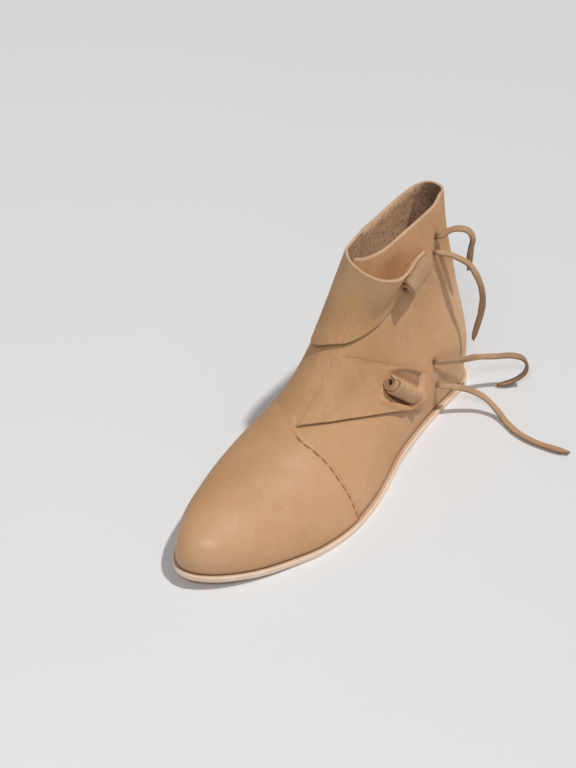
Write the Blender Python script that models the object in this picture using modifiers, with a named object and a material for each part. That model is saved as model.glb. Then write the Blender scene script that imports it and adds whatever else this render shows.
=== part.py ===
"""Toggle boot, left shoe: an ankle boot of plain leather whose two flaps wrap over to the lateral side.

The boot stands on z = 0 with its toe towards -Y and its lateral side at +X. Sizes below are in
millimetres. A station is a distance from the back of the heel towards the toe.
"""

import math

import bmesh
import bpy
import numpy as np
from mathutils import Vector

MM = 0.001
TINY = 1e-9
SAMPLES = 400

# Driving sizes
SHOE_LENGTH = 285.0
COLLAR_HEIGHT = 148.0
COLLAR_FRONT_HEIGHT = 141.0
SOLE_THICK = 4.6
TOE_SPRING = 7.0
ARCH_RISE = 1.6
SOLE_MARGIN = 2.0
WALL = 2.2
FLAP_WALL = 2.0
INSOLE_THICK = 2.4
GAP = 0.3
SEAT_GAP = 0.5
FEATHER_GAP = 0.8
FEATHER_BAND = 0.05

# Where the sole leaves the floor: the waist between two stations, and the toe past one
WAIST_FROM, WAIST_TO = 68.0, 150.0
SPRING_FROM = 200.0

# Sole outline before its ends are rounded: half-widths at a station
OUTLINE = np.array([
    # station, medial, lateral
    (0, 33.5, 32.0),
    (30, 34.0, 32.3),
    (50, 31.5, 33.3),
    (72, 27.5, 35.3),
    (93, 25.8, 38.6),
    (115, 28.2, 43.0),
    (140, 34.5, 50.5),
    (163, 39.5, 55.3),
    (185, 40.5, 57.0),
    (207, 38.0, 54.0),
    (230, 34.7, 47.0),
    (256, 31.5, 41.5),
    (285, 27.0, 35.0),
])
HEEL_ROUND, HEEL_POWER = 30.0, 2.3
FRONT_POWER = 2.0
TOE_ROUND, TOE_POWER = 70.0, 2.0

# Top of the foot seen from the side, before the toe's tip is rounded
TOP_PROFILE = np.array([
    # station, height, fullness of the section's lateral and medial shoulders
    (64, 222, 1.85, 1.85),
    (85, 184, 1.85, 1.85),
    (103, 148, 1.85, 1.85),
    (115.5, 125, 1.85, 2.20),
    (129, 103, 1.80, 3.20),
    (143, 85, 1.58, 3.20),
    (160, 70, 1.44, 2.75),
    (182, 56, 1.38, 2.85),
    (210, 47, 1.46, 3.30),
    (240, 41, 1.60, 3.15),
    (264, 36.5, 2.0, 3.50),
    (285, 34, 2.50, 4.10),
])
TIP_ROUND, TIP_POWER = 34.0, 2.2

# The shaft over the heel, by height
SHAFT = np.array([
    # height, back station, half-width, lean of its middle to lateral, rounding of its back and of its front
    (5, 2.0, 31.0, 0.0, 28.0, 60.0),
    (30, 0.5, 31.0, 0.0, 28.0, 60.0),
    (60, 3.0, 27.5, -2.0, 26.0, 48.0),
    (90, 7.5, 21.5, -4.5, 21.0, 34.0),
    (120, 11.0, 16.5, -7.0, 16.0, 28.0),
    (148, 13.5, 12.5, -8.3, 12.5, 24.0),
])
SHAFT_BLEND_HEIGHT = 62.0
SHAFT_BLEND_FROM, SHAFT_BLEND_TO = 205.0, 118.0
SHAFT_FRONT_FROM, SHAFT_FRONT_TO = 62.0, 100.0

RING_POINTS = 50
RINGS = 25
NORMAL_STEP = 0.01


def smooth_curve(xs, ys):
    """A cubic through the table's points, with each slope taken from its neighbours."""
    slopes = np.gradient(ys, xs)

    def at(x):
        x = np.clip(x, xs[0], xs[-1])
        i = np.clip(np.searchsorted(xs, x) - 1, 0, len(xs) - 2)
        h = xs[i + 1] - xs[i]
        t = (x - xs[i]) / h
        rise = ys[i] * (1 + 2 * t) * (1 - t) ** 2 + ys[i + 1] * t * t * (3 - 2 * t)
        return rise + h * (slopes[i] * t * (1 - t) ** 2 - slopes[i + 1] * t * t * (1 - t))

    return at


def smooth_step(x):
    x = np.clip(x, 0, 1)
    return x * x * (3 - 2 * x)


def round_off(t, power):
    """Height of a rounded end: 1 at t = 0 and 0 at t = 1."""
    return (1 - np.clip(t, 0, 1) ** power) ** (1 / power)


medial_width = smooth_curve(OUTLINE[:, 0], OUTLINE[:, 1])
lateral_width = smooth_curve(OUTLINE[:, 0], OUTLINE[:, 2])
top_height = smooth_curve(TOP_PROFILE[:, 0], TOP_PROFILE[:, 1])
lateral_fullness = smooth_curve(TOP_PROFILE[:, 0], TOP_PROFILE[:, 2])
medial_fullness = smooth_curve(TOP_PROFILE[:, 0], TOP_PROFILE[:, 3])
shaft_back, shaft_half, shaft_lean, shaft_back_round, shaft_front_round = (
    smooth_curve(SHAFT[:, 0], SHAFT[:, column]) for column in range(1, 6)
)


def side_width(side, station):
    return np.where(side > 0, lateral_width(station), medial_width(station))


def toe_round(station, inset):
    centre = SHOE_LENGTH - TOE_ROUND
    return round_off((station - centre) / (TOE_ROUND - inset), TOE_POWER)


def outline(side, station, inset=0.0):
    """Half-width of the sole's outline on one side, drawn in by an inset."""
    heel = round_off((HEEL_ROUND - station) / (HEEL_ROUND - inset), HEEL_POWER)
    return (side_width(side, station) - inset) * heel * toe_round(station, inset)


def lift(station):
    """How far the sole's underside is off the floor."""
    waist = np.clip((station - WAIST_FROM) / (WAIST_TO - WAIST_FROM), 0, 1)
    toe = np.clip((station - SPRING_FROM) / (SHOE_LENGTH - SPRING_FROM), 0, 1)
    return ARCH_RISE * np.sin(math.pi * waist) ** 2 + TOE_SPRING * toe ** 2


# The plan is centred on the box of the sole
SAMPLE = np.linspace(0, SHOE_LENGTH, SAMPLES)
MIDDLE_X = (outline(1, SAMPLE).max() - outline(-1, SAMPLE).max()) / 2


def place(station, across, height):
    """Metres in the boot's frame from a station, a distance to lateral and a height."""
    station, across, height = np.broadcast_arrays(station, across, height)
    return np.stack([across - MIDDLE_X, SHOE_LENGTH / 2 - station, height], -1) * MM


FEATHER = SOLE_THICK + FEATHER_GAP
FEATHER_END = SHOE_LENGTH - SOLE_MARGIN


def ridge(station):
    """Height of the upper's top line, rounded down to the feather line at the toe's tip."""
    tip = round_off((station - (SHOE_LENGTH - TIP_ROUND)) / (TIP_ROUND - SOLE_MARGIN), TIP_POWER)
    floor = FEATHER + lift(station)
    return floor + (top_height(station) - floor) * tip


RIDGE_STATIONS = np.linspace(TOP_PROFILE[0, 0], FEATHER_END, SAMPLES)


def front_station(height):
    """Station of the upper's front line at a height."""
    return np.interp(-height, -ridge(RIDGE_STATIONS), RIDGE_STATIONS)


def upper_half(side, station, height):
    """(middle, half-width) of the upper's outside at a station and a height."""
    floor = FEATHER + lift(station)
    rise = (height - floor) / (ridge(station) - floor + TINY)
    blend = smooth_step((height - floor) / SHAFT_BLEND_HEIGHT) * smooth_step(
        (SHAFT_BLEND_FROM - station) / (SHAFT_BLEND_FROM - SHAFT_BLEND_TO))
    foot = (side_width(side, station) - SOLE_MARGIN) * toe_round(station, SOLE_MARGIN)
    plan = foot + (shaft_half(height) - foot) * blend
    back, back_round = shaft_back(height), shaft_back_round(height)
    heel = round_off((back + back_round - station) / back_round, HEEL_POWER)
    over_band = np.clip((rise - FEATHER_BAND) / (1 - FEATHER_BAND), 0, 1)
    fullness = np.where(side > 0, lateral_fullness(station), medial_fullness(station))
    section = np.sqrt(1 - over_band ** fullness)
    front_round = shaft_front_round(height)
    front = round_off((station - front_station(height) + front_round) / front_round, FRONT_POWER)
    upright = smooth_step((height - SHAFT_FRONT_FROM) / (SHAFT_FRONT_TO - SHAFT_FRONT_FROM))
    return shaft_lean(height) * blend, plan * heel * (section + (front - section) * upright)


def arc_fractions(points):
    lengths = np.hypot(*np.diff(points, axis=0).T)
    along = np.concatenate([[0], np.cumsum(lengths)])
    return along / along[-1]


# Every ring of the upper runs between two lines: the front from the toe's tip up, the back from the heel up
COLLAR_FRONT = front_station(COLLAR_FRONT_HEIGHT)
FRONT_STATIONS = COLLAR_FRONT + (FEATHER_END - COLLAR_FRONT) * np.cos(np.linspace(0, math.pi / 2, SAMPLES))
FRONT_LINE = np.stack([FRONT_STATIONS, ridge(FRONT_STATIONS)], 1)
BACK_HEIGHTS = np.linspace(FEATHER, COLLAR_HEIGHT, SAMPLES)
BACK_LINE = np.stack([shaft_back(BACK_HEIGHTS), BACK_HEIGHTS], 1)
FRONT_FRACTIONS, BACK_FRACTIONS = arc_fractions(FRONT_LINE), arc_fractions(BACK_LINE)


def upper_side_view(turn, up):
    """(side, station, height) on the upper.

    Turn goes round it: 0 at the back, 1 at the front by the lateral side, 2 at the back again.
    Up goes from 0 at the feather line to 1 at the collar.
    """
    turn, up = np.broadcast_arrays(np.asarray(turn, float), np.asarray(up, float))
    along = (1 - np.cos(math.pi * turn)) / 2
    front = [np.interp(up, FRONT_FRACTIONS, FRONT_LINE[:, k]) for k in (0, 1)]
    back = [np.interp(up, BACK_FRACTIONS, BACK_LINE[:, k]) for k in (0, 1)]
    station = back[0] + (front[0] - back[0]) * along
    straight = back[1] + (front[1] - back[1]) * along
    height = straight + (lift(station) - lift(front[0]) * along) * (1 - up) ** 2
    return np.where(turn % 2 <= 1, 1, -1), station, height


def upper_point(turn, up):
    side, station, height = upper_side_view(turn, up)
    middle, half = upper_half(side, station, height)
    return place(station, middle + side * half, height)


def upper_normal(turn, up):
    along = upper_point(turn + NORMAL_STEP, up) - upper_point(turn - NORMAL_STEP, up)
    above, below = np.minimum(up + NORMAL_STEP, 1), np.maximum(up - NORMAL_STEP, 0)
    normal = np.cross(upper_point(turn, above) - upper_point(turn, below), along)
    return normal / np.linalg.norm(normal, axis=-1, keepdims=True)


# Flaps on the upper's outside: gape is how far the top or free edge stands off
INSTEP_FLAP = np.array([
    # turn, low edge, high edge, gape
    (1.22, 0.546, 0.711, 0.0),
    (1.00, 0.534, 0.755, 0.0),
    (0.86, 0.531, 0.741, 0.0),
    (0.71, 0.476, 0.684, 0.2),
    (0.57, 0.350, 0.576, 0.6),
    (0.44, 0.216, 0.408, 1.0),
    (0.35, 0.121, 0.251, 1.0),
])
ANKLE_FLAP = np.array([
    # turn, low edge, high edge, gape
    (1.20, 0.722, 0.985, 0.0),
    (1.08, 0.760, 0.985, 3.0),
    (0.98, 0.770, 0.985, 8.0),
    (0.86, 0.766, 0.985, 14.0),
    (0.74, 0.762, 0.983, 18.0),
    (0.65, 0.768, 0.975, 17.0),
    (0.575, 0.790, 0.952, 13.0),
])
FLAP_GAP = 0.85
FLAP_COLUMNS = 7
LEAST_ROW = 0.012
GAPE_POWER = 1.3

# Toggles: where the two ends of a roll lie on the upper, and its size
INSTEP_TOGGLE = {"front": (0.550, 0.465), "rear": (0.409, 0.225), "length": 37.0, "diameter": 14.0}
ANKLE_TOGGLE = {"front": (0.530, 0.826), "rear": (0.416, 0.848), "length": 28.0, "diameter": 12.5}
TOGGLE_SIDES = 20
TOGGLE_EDGE = 0.8

# Free tails of the thongs: where each leaves the upper, then points that it passes
THONG_WIDTH = 4.0
THONG_STAND_OFF = 2.0
THONG_STEP = 5.5
THONG_TAILS = {
    # (turn, up), then rows of station, across, height
    "ankle_thong_upper": ((0.297, 0.870), (
        (30, 13, 130), (25, 19, 132), (21.5, 23.5, 130), (20, 26, 125), (20, 25.5, 117), (20, 25, 99))),
    "ankle_thong_lower": ((0.317, 0.808), (
        (33, 17, 115), (29, 22, 112), (25, 27, 108), (22, 31, 101), (19.5, 35, 91),
        (18, 37, 79), (18.5, 37, 67), (20, 36, 57), (22, 35, 46))),
    "instep_thong_upper": ((0.332, 0.292), (
        (47.5, 34, 42.5), (37, 35.3, 37.3), (20, 38, 30.6), (7.5, 45.4, 27.2), (-3.6, 55.4, 25.6),
        (-6.5, 58.8, 24.0), (-8.4, 61.4, 20.5), (-8.8, 62.6, 15.9), (-7.7, 62, 11.3), (-5.3, 59.9, 7.8),
        (-2.3, 57, 5.0), (1.3, 53.5, 3.0), (5.6, 49.4, 2.3))),
    "instep_thong_lower": ((0.303, 0.131), (
        (48, 39.5, 23), (39, 48, 18), (33, 57, 11), (32.5, 66, 5), (36, 76, 2.3), (40, 87, 2.3),
        (41, 100, 2.3), (39, 113, 2.3), (36, 124, 2.3))),
}

# Nails round the sole's underside
NAIL_COUNT = 34
NAIL_INSET = 9.0
NAIL_RADIUS = 1.75
NAIL_TAPER = 0.8
NAIL_SIDES = 10
NAIL_HEAD = 0.7
NAIL_POCKET = 1.2
NAIL_SUNK = 0.15

# The grids of the two soles
SOLE_ROWS, SOLE_COLUMNS = 40, 7
SOLE_EDGE = 0.6
END_ANGLE = 0.09
INSOLE_INSET = SOLE_MARGIN + WALL + 1.6

LEATHER = (0.56, 0.35, 0.19)
PALE_LEATHER = (0.66, 0.47, 0.31)
SOLE_LEATHER = (0.68, 0.47, 0.33)
DARK_IRON = (0.09, 0.06, 0.045)


def clear_scene():
    for obj in list(bpy.data.objects):
        bpy.data.objects.remove(obj, do_unlink=True)


def new_collection(name):
    collection = bpy.data.collections.new(name)
    bpy.context.scene.collection.children.link(collection)
    return collection


def material(name, colour, roughness, metallic=0.0):
    made = bpy.data.materials.new(name)
    made.use_nodes = True
    shader = made.node_tree.nodes["Principled BSDF"]
    shader.inputs["Base Color"].default_value = (*colour, 1)
    shader.inputs["Roughness"].default_value = roughness
    shader.inputs["Metallic"].default_value = metallic
    return made


def add_object(name, data, collection, finish=None):
    obj = bpy.data.objects.new(name, data)
    collection.objects.link(obj)
    if finish is not None:
        data.materials.append(finish)
    return obj


def grid_mesh(name, points, closed=False):
    """A mesh of quads over a grid of points; closed joins its last column to its first."""
    rows, columns = points.shape[:2]
    around = columns if closed else columns - 1
    faces = []
    for i in range(rows - 1):
        for j in range(around):
            k = (j + 1) % columns
            faces.append((i * columns + j, i * columns + k, (i + 1) * columns + k, (i + 1) * columns + j))
    mesh = bpy.data.meshes.new(name)
    mesh.from_pydata(points.reshape(-1, 3).tolist(), [], faces)
    mesh.shade_smooth()
    return mesh


def solidify(obj, thickness, offset):
    shell = obj.modifiers.new("Wall", "SOLIDIFY")
    shell.thickness = thickness * MM
    shell.offset = offset
    shell.use_even_offset = True
    return shell


def sole_grid(inset, height):
    """Points over the sole's plan, drawn in by an inset, at a height over its underside."""
    angles = np.linspace(END_ANGLE, math.pi - END_ANGLE, SOLE_ROWS)
    stations = inset + (SHOE_LENGTH - 2 * inset) * (1 - np.cos(angles)) / 2
    across = np.linspace(0, 1, SOLE_COLUMNS)
    low = -outline(-1, stations, inset)[:, None]
    high = outline(1, stations, inset)[:, None]
    return place(stations[:, None], low + (high - low) * across, lift(stations)[:, None] + height)


def nail_places():
    """(station, across) of each nail, at equal steps along a line inside the sole's edge."""
    angles = np.linspace(0, math.pi, SAMPLES)
    stations = NAIL_INSET + (SHOE_LENGTH - 2 * NAIL_INSET) * (1 - np.cos(angles)) / 2
    lateral = np.stack([stations, outline(1, stations, NAIL_INSET)], 1)
    medial = np.stack([stations, -outline(-1, stations, NAIL_INSET)], 1)
    line = np.concatenate([lateral, medial[::-1]])
    fractions = arc_fractions(line)
    wanted = (np.arange(NAIL_COUNT) + 0.5) / NAIL_COUNT
    return np.stack([np.interp(wanted, fractions, line[:, k]) for k in (0, 1)], 1)


def nail_pockets(places, collection):
    """One cutter holding a short cylinder for each nail."""
    pockets = bmesh.new()
    for station, across in places:
        added = bmesh.ops.create_cone(
            pockets, cap_ends=True, segments=NAIL_SIDES, depth=2 * NAIL_POCKET * MM,
            radius1=(NAIL_RADIUS + GAP) * MM, radius2=(NAIL_RADIUS + GAP) * MM)
        bmesh.ops.translate(pockets, verts=added["verts"], vec=Vector(place(station, across, lift(station))))
    mesh = bpy.data.meshes.new("nail_pockets")
    pockets.to_mesh(mesh)
    pockets.free()
    cutter = add_object("nail_pockets", mesh, collection)
    cutter.hide_render = True
    cutter.display_type = "WIRE"
    return cutter


def make_outsole(parts, cutters, finish):
    mesh = grid_mesh("outsole", sole_grid(0.0, 0.0))
    sole = add_object("outsole", mesh, parts, finish)
    solidify(sole, SOLE_THICK, -1.0)
    edge = sole.modifiers.new("Edge", "BEVEL")
    edge.width = SOLE_EDGE * MM
    edge.segments = 1
    edge.limit_method = "ANGLE"
    edge.angle_limit = math.radians(60)
    cut = sole.modifiers.new("Nail pockets", "BOOLEAN")
    cut.operation = "DIFFERENCE"
    cut.object = nail_pockets(nail_places(), cutters)


def make_nails(parts, finish):
    head = bmesh.new()
    bmesh.ops.create_cone(
        head, cap_ends=True, segments=NAIL_SIDES, depth=NAIL_HEAD * MM,
        radius1=NAIL_RADIUS * NAIL_TAPER * MM, radius2=NAIL_RADIUS * MM)
    mesh = bpy.data.meshes.new("nail")
    head.to_mesh(mesh)
    head.free()
    mesh.materials.append(finish)
    for number, (station, across) in enumerate(nail_places(), 1):
        nail = add_object(f"nail_{number:02d}", mesh, parts)
        nail.location = place(station, across, lift(station) + NAIL_SUNK + NAIL_HEAD / 2)


def make_insole(parts, finish):
    mesh = grid_mesh("insole", sole_grid(INSOLE_INSET, SOLE_THICK + SEAT_GAP))
    solidify(add_object("insole", mesh, parts, finish), INSOLE_THICK, -1.0)


def make_upper(parts, finish):
    turns = 2 - np.arange(RING_POINTS) * 2 / RING_POINTS
    ups = np.linspace(0, 1, RINGS)
    mesh = grid_mesh("upper", upper_point(turns[None, :], ups[:, None]), closed=True)
    solidify(add_object("upper", mesh, parts, finish), WALL, -1.0)


def flap_point(table, turn, across):
    """Inside of a flap: across is 0 on its low edge and 1 on its high edge."""
    order = np.argsort(table[:, 0])
    low, high, gape = (smooth_curve(table[order, 0], table[order, k])(turn) for k in (1, 2, 3))
    up = low + (high - low) * across
    stand_off = FLAP_GAP + gape * across ** GAPE_POWER
    return upper_point(turn, up) + upper_normal(turn, up) * (stand_off * MM)[..., None]


def make_flap(name, table, parts, finish):
    """A flap whose rows lie over the upper's own, so that their facets run side by side."""
    start, end = table[-1, 0], table[0, 0]
    ring = np.arange(RING_POINTS) * 2 / RING_POINTS
    between = ring[(ring > start + LEAST_ROW) & (ring < end - LEAST_ROW)]
    turns = np.concatenate([[start], between, [end]])
    across = np.linspace(0, 1, FLAP_COLUMNS)
    mesh = grid_mesh(name, flap_point(table, *np.meshgrid(turns, across, indexing="ij")))
    solidify(add_object(name, mesh, parts, finish), FLAP_WALL, 1.0)


def make_toggle(name, roll, seat, parts, finish):
    """A roll of leather that lies along the upper, its side a seat's height off it."""
    front, rear = (upper_point(*(np.array(value) for value in roll[end])) for end in ("front", "rear"))
    turn, up = (np.array((roll["front"][k] + roll["rear"][k]) / 2) for k in (0, 1))
    off = (seat + roll["diameter"] / 2) * MM
    bpy.ops.mesh.primitive_cylinder_add(
        vertices=TOGGLE_SIDES, radius=roll["diameter"] / 2 * MM, depth=roll["length"] * MM,
        location=upper_point(turn, up) + upper_normal(turn, up) * off,
        rotation=Vector(front - rear).to_track_quat("Z", "Y").to_euler())
    toggle = bpy.context.object
    toggle.name = toggle.data.name = name
    for collection in list(toggle.users_collection):
        collection.objects.unlink(toggle)
    parts.objects.link(toggle)
    toggle.data.materials.append(finish)
    edge = toggle.modifiers.new("Edge", "BEVEL")
    edge.width = TOGGLE_EDGE * MM
    edge.segments = 2
    edge.limit_method = "ANGLE"
    edge.angle_limit = math.radians(60)


def thong_route(exit_at, rows):
    """Points at even steps along a smooth curve through a tail's own points, in metres."""
    turn, up = (np.array(value) for value in exit_at)
    start = upper_point(turn, up) + upper_normal(turn, up) * THONG_STAND_OFF * MM
    through = np.vstack([start, place(*np.array(rows, float).T)])
    along = np.concatenate([[0], np.cumsum(np.linalg.norm(np.diff(through, axis=0), axis=1))])
    steps = np.linspace(0, along[-1], max(8, round(along[-1] / (THONG_STEP * MM)) + 1))
    return np.stack([smooth_curve(along, through[:, k])(steps) for k in range(3)], 1)


def make_thong(name, exit_at, rows, parts, finish):
    route = thong_route(exit_at, rows)
    curve = bpy.data.curves.new(name, "CURVE")
    curve.dimensions = "3D"
    curve.bevel_depth = THONG_WIDTH / 2 * MM
    curve.bevel_resolution = 2
    curve.use_fill_caps = True
    spline = curve.splines.new("POLY")
    spline.points.add(len(route) - 1)
    for point, co in zip(spline.points, route):
        point.co = (*co, 1)
    add_object(name, curve, parts, finish)


def main():
    clear_scene()
    parts = new_collection("toggle_boot")
    cutters = new_collection("cutters")
    leather = material("upper_leather", LEATHER, 0.55)
    pale = material("thong_leather", PALE_LEATHER, 0.7)
    sole = material("sole_leather", SOLE_LEATHER, 0.6)
    iron = material("nail_iron", DARK_IRON, 0.5, 0.8)
    make_outsole(parts, cutters, sole)
    make_nails(parts, iron)
    make_insole(parts, sole)
    make_upper(parts, leather)
    make_flap("instep_flap", INSTEP_FLAP, parts, leather)
    make_flap("ankle_flap", ANKLE_FLAP, parts, leather)
    flap_seat = FLAP_GAP + FLAP_WALL + 2 * GAP
    make_toggle("instep_toggle", INSTEP_TOGGLE, flap_seat, parts, pale)
    make_toggle("ankle_toggle", ANKLE_TOGGLE, GAP, parts, pale)
    for name, (exit_at, rows) in THONG_TAILS.items():
        make_thong(name, exit_at, rows, parts, pale)


main()
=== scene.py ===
"""Looks of the toggle boot, a left shoe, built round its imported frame.

The form repeats the part's own functions, so the pieces lie where its solids are; only the toggles' rolls
are moved to where the photo shows them. Sizes are in millimetres and points in metres. The toe is towards -Y
and the lateral side at +X; a station is a distance from the back of the heel towards the toe. Turn goes round
the upper: 0 at the back, 1 at the front by the lateral side and 2 at the back again. Up goes from 0 at the
feather line to 1 at the collar.
"""

import math

import bpy
import numpy as np
from mathutils import Matrix, Vector


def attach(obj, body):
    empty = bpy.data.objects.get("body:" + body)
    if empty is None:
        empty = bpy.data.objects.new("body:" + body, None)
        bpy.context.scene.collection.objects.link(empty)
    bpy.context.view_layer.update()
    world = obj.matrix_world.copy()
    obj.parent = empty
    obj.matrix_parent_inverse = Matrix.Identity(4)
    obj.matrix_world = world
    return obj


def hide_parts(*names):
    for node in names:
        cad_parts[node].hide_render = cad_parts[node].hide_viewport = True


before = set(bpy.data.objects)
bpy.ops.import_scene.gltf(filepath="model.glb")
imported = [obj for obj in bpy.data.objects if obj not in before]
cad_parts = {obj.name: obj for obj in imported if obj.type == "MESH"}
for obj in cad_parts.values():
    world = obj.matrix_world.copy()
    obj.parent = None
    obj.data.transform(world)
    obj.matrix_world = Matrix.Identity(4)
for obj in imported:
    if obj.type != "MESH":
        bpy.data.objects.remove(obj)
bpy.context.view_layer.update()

MM = 0.001
TINY = 1e-9
SAMPLES = 400
NORMAL_STEP = 0.01

# Driving sizes, as in the part
SHOE_LENGTH = 285.0
COLLAR_HEIGHT = 148.0
COLLAR_FRONT_HEIGHT = 141.0
SOLE_THICK = 4.6
TOE_SPRING = 7.0
ARCH_RISE = 1.6
SOLE_MARGIN = 2.0
WALL = 2.2
INSOLE_THICK = 2.4
SEAT_GAP = 0.5
FEATHER_GAP = 0.8
FEATHER_BAND = 0.05
WAIST_FROM, WAIST_TO = 68.0, 150.0
SPRING_FROM = 200.0
OUTLINE = np.array([
    # station, medial, lateral
    (0, 33.5, 32), (30, 34, 32.3), (50, 31.5, 33.3), (72, 27.5, 35.3), (93, 25.8, 38.6),
    (115, 28.2, 43), (140, 34.5, 50.5), (163, 39.5, 55.3), (185, 40.5, 57), (207, 38, 54),
    (230, 34.7, 47), (256, 31.5, 41.5), (285, 27, 35),
])
HEEL_ROUND, HEEL_POWER = 30.0, 2.3
FRONT_POWER = 2.0
TOE_ROUND, TOE_POWER = 70.0, 2.0
TOP_PROFILE = np.array([
    # station, height, fullness of the section's lateral and medial shoulders
    (64, 222, 1.85, 1.85), (85, 184, 1.85, 1.85), (103, 148, 1.85, 1.85), (115.5, 125, 1.85, 2.2),
    (129, 103, 1.8, 3.2), (143, 85, 1.58, 3.2), (160, 70, 1.44, 2.75), (182, 56, 1.38, 2.85),
    (210, 47, 1.46, 3.3), (240, 41, 1.6, 3.15), (264, 36.5, 2, 3.5), (285, 34, 2.5, 4.1),
])
TIP_ROUND, TIP_POWER = 34.0, 2.2
SHAFT = np.array([
    # height, back station, half-width, lean of its middle to lateral, rounding of its back and of its front
    (5, 2, 31, 0, 28, 60), (30, 0.5, 31, 0, 28, 60),
    (60, 3, 27.5, -2, 26, 48), (90, 7.5, 21.5, -4.5, 21, 34),
    (120, 11, 16.5, -7, 16, 28), (148, 13.5, 12.5, -8.3, 12.5, 24),
])
SHAFT_BLEND_HEIGHT = 62.0
SHAFT_BLEND_FROM, SHAFT_BLEND_TO = 205.0, 118.0
SHAFT_FRONT_FROM, SHAFT_FRONT_TO = 62.0, 100.0


def smooth_curve(xs, ys):
    """A cubic through the table's points, with each slope taken from its neighbours."""
    slopes = np.gradient(ys, xs)

    def at(x):
        x = np.clip(x, xs[0], xs[-1])
        i = np.clip(np.searchsorted(xs, x) - 1, 0, len(xs) - 2)
        h = xs[i + 1] - xs[i]
        t = (x - xs[i]) / h
        rise = ys[i] * (1 + 2 * t) * (1 - t) ** 2 + ys[i + 1] * t * t * (3 - 2 * t)
        return rise + h * (slopes[i] * t * (1 - t) ** 2 - slopes[i + 1] * t * t * (1 - t))

    return at


def table_curve(table, column=1):
    """A smooth curve of one column of a table over its first column."""
    return smooth_curve(table[:, 0], table[:, column])


def between(at, marks, rows):
    """Rows interpolated at places between their marks."""
    return np.stack([np.interp(at, marks, column) for column in np.transpose(rows)], -1)


def ramp(x, start, width):
    """A smooth rise from 0 at the start to 1 a width further on; a negative width runs the other way."""
    t = np.clip((x - start) / width, 0, 1)
    return t * t * (3 - 2 * t)


def bell(distance, width):
    return np.exp(-(distance / width) ** 2)


def round_off(t, power):
    """Height of a rounded end: 1 at t = 0 and 0 at t = 1."""
    return (1 - np.clip(t, 0, 1) ** power) ** (1 / power)


def size(vectors):
    return np.linalg.norm(vectors, axis=-1)


def unit(vectors):
    return vectors / np.linalg.norm(vectors, axis=-1, keepdims=True)


def shifted(points, directions, distance):
    """Points moved along directions by a distance in millimetres."""
    return points + directions * np.asarray(distance * MM)[..., None]


def arc_lengths(points):
    """How far along a line each of its points is."""
    return np.concatenate([[0], np.cumsum(size(np.diff(points, axis=0)))])


def arc_fractions(points):
    along = arc_lengths(points)
    return along / along[-1]


medial_width, lateral_width = (table_curve(OUTLINE, k) for k in (1, 2))
top_height, lateral_fullness, medial_fullness = (table_curve(TOP_PROFILE, k) for k in (1, 2, 3))
shaft_back, shaft_half, shaft_lean, shaft_back_round, shaft_front_round = (
    table_curve(SHAFT, k) for k in range(1, 6))


def side_width(side, station):
    return np.where(side > 0, lateral_width(station), medial_width(station))


def toe_round(station, inset):
    centre = SHOE_LENGTH - TOE_ROUND
    return round_off((station - centre) / (TOE_ROUND - inset), TOE_POWER)


def outline(side, station, inset=0):
    """Half-width of the sole's outline on one side, drawn in by an inset."""
    heel = round_off((HEEL_ROUND - station) / (HEEL_ROUND - inset), HEEL_POWER)
    return (side_width(side, station) - inset) * heel * toe_round(station, inset)


def lift(station):
    """How far the sole's underside is off the floor."""
    waist = np.clip((station - WAIST_FROM) / (WAIST_TO - WAIST_FROM), 0, 1)
    toe = np.clip((station - SPRING_FROM) / (SHOE_LENGTH - SPRING_FROM), 0, 1)
    return ARCH_RISE * np.sin(math.pi * waist) ** 2 + TOE_SPRING * toe ** 2


SAMPLE = np.linspace(0, SHOE_LENGTH, SAMPLES)
MIDDLE_X = (outline(1, SAMPLE).max() - outline(-1, SAMPLE).max()) / 2


def place(station, across, height):
    """Metres in the boot's frame from a station, a distance to lateral and a height."""
    station, across, height = np.broadcast_arrays(station, across, height)
    return np.stack([across - MIDDLE_X, SHOE_LENGTH / 2 - station, height], -1) * MM


FEATHER = SOLE_THICK + FEATHER_GAP
FEATHER_END = SHOE_LENGTH - SOLE_MARGIN


def ridge(station):
    """Height of the upper's top line, rounded down to the feather line at the toe's tip."""
    tip = round_off((station - (SHOE_LENGTH - TIP_ROUND)) / (TIP_ROUND - SOLE_MARGIN), TIP_POWER)
    floor = FEATHER + lift(station)
    return floor + (top_height(station) - floor) * tip


RIDGE_STATIONS = np.linspace(TOP_PROFILE[0, 0], FEATHER_END, SAMPLES)


def front_station(height):
    """Station of the upper's front line at a height."""
    return np.interp(-height, -ridge(RIDGE_STATIONS), RIDGE_STATIONS)


def upper_half(side, station, height):
    """(middle, half-width) of the upper's outside at a station and a height."""
    floor = FEATHER + lift(station)
    rise = (height - floor) / (ridge(station) - floor + TINY)
    blend = ramp(height, floor, SHAFT_BLEND_HEIGHT)
    blend = blend * ramp(station, SHAFT_BLEND_FROM, SHAFT_BLEND_TO - SHAFT_BLEND_FROM)
    foot = (side_width(side, station) - SOLE_MARGIN) * toe_round(station, SOLE_MARGIN)
    plan = foot + (shaft_half(height) - foot) * blend
    back, back_round = shaft_back(height), shaft_back_round(height)
    heel = round_off((back + back_round - station) / back_round, HEEL_POWER)
    over_band = np.clip((rise - FEATHER_BAND) / (1 - FEATHER_BAND), 0, 1)
    fullness = np.where(side > 0, lateral_fullness(station), medial_fullness(station))
    section = np.sqrt(1 - over_band ** fullness)
    front_round = shaft_front_round(height)
    front = round_off((station - front_station(height) + front_round) / front_round, FRONT_POWER)
    upright = ramp(height, SHAFT_FRONT_FROM, SHAFT_FRONT_TO - SHAFT_FRONT_FROM)
    return shaft_lean(height) * blend, plan * heel * (section + (front - section) * upright)


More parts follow.
